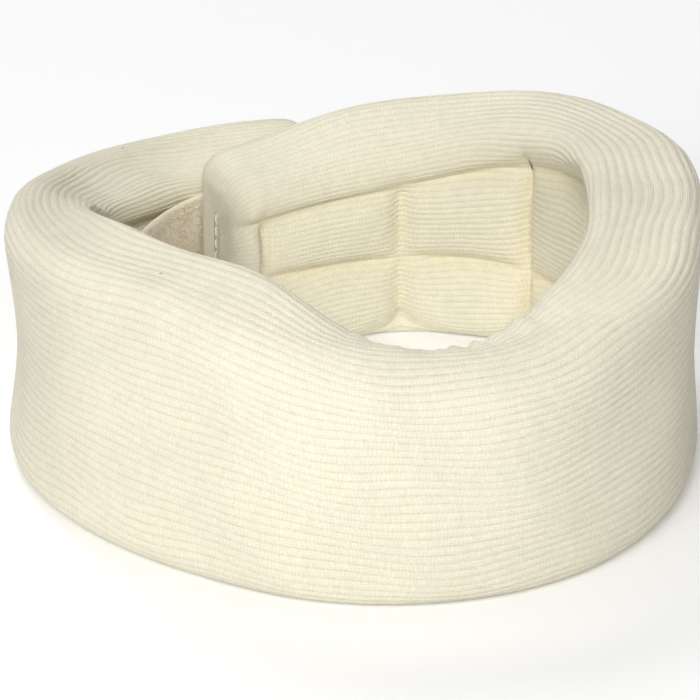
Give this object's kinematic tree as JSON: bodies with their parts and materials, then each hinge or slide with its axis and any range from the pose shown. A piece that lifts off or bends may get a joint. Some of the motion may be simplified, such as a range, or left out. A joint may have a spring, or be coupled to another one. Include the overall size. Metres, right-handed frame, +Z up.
{
  "type": "cervical collar",
  "caption": "Soft foam neck collar with a chin dip, in a ribbed knitted tube, closing at the back with hook-and-loop tape.",
  "frame": {"origin": "centre of the closed collar's footprint, on the flat surface that its lower edge rests on", "axes": "+Z up, -Y towards the chin dip, +Y towards the overlapping ends at the nape, +X towards the right-hand bend seen from the chin"},
  "size_m": [0.1828, 0.2036, 0.0764],
  "materials": {
    "cotton_knit": "matt ribbed cotton knit, cream",
    "soft_foam": "soft open-cell foam, off-white",
    "loop_pile": "brushed nylon loop pile, beige",
    "hook_tape": "woven nylon hook tape, beige",
    "thread": "polyester sewing thread, cream"
  },
  "bodies": {
    "outer_end": {"cover_outer_end": "cotton_knit", "foam_outer_end": "soft_foam", "loop_tape": "loop_pile", "loop_stitching": "thread", "outer_end_seam": "thread"},
    "left_bend": {"cover_left_bend": "cotton_knit", "foam_left_bend": "soft_foam"},
    "left_side": {"cover_left_side": "cotton_knit", "foam_left_side": "soft_foam"},
    "front": {"cover_front": "cotton_knit", "foam_front": "soft_foam"},
    "right_side": {"cover_right_side": "cotton_knit", "foam_right_side": "soft_foam"},
    "right_bend": {"cover_right_bend": "cotton_knit", "foam_right_bend": "soft_foam"},
    "inner_end": {"cover_inner_end": "cotton_knit", "foam_inner_end": "soft_foam", "hook_tape": "hook_tape", "hook_stitching": "thread", "inner_end_seam": "thread"}
  },
  "joints": [
    {"name": "left_front_flex", "type": "hinge", "parent": "front", "child": "left_side", "pos_m": [-0.07311, -0.05861, 0], "axis": [0, 0, 1], "range_deg": [0, 30]},
    {"name": "left_bend_front_flex", "type": "hinge", "parent": "left_side", "child": "left_bend", "pos_m": [-0.081, 0.03724, 0], "axis": [0, 0, 1], "range_deg": [0, 26]},
    {"name": "left_bend_back_flex", "type": "hinge", "parent": "left_bend", "child": "outer_end", "pos_m": [-0.05339, 0.07368, 0], "axis": [0, 0, 1], "range_deg": [0, 30]},
    {"name": "right_front_flex", "type": "hinge", "parent": "front", "child": "right_side", "pos_m": [0.01516, -0.09978, 0], "axis": [0, 0, -1], "range_deg": [0, 22]},
    {"name": "right_back_flex", "type": "hinge", "parent": "right_side", "child": "right_bend", "pos_m": [0.08432, -0.0342, 0], "axis": [0, 0, -1], "range_deg": [0, 18]},
    {"name": "right_end_flex", "type": "hinge", "parent": "right_bend", "child": "inner_end", "pos_m": [0.04985, 0.057, 0], "axis": [0, 0, -1], "range_deg": [0, 14]}
  ],
  "couplings": [
    {"joint": "left_bend_front_flex", "follows": "left_front_flex", "ratio": 0.8667},
    {"joint": "left_bend_back_flex", "follows": "left_front_flex", "ratio": 1},
    {"joint": "right_front_flex", "follows": "left_front_flex", "ratio": 0.7333},
    {"joint": "right_back_flex", "follows": "left_front_flex", "ratio": 0.6},
    {"joint": "right_end_flex", "follows": "left_front_flex", "ratio": 0.4667}
  ]
}
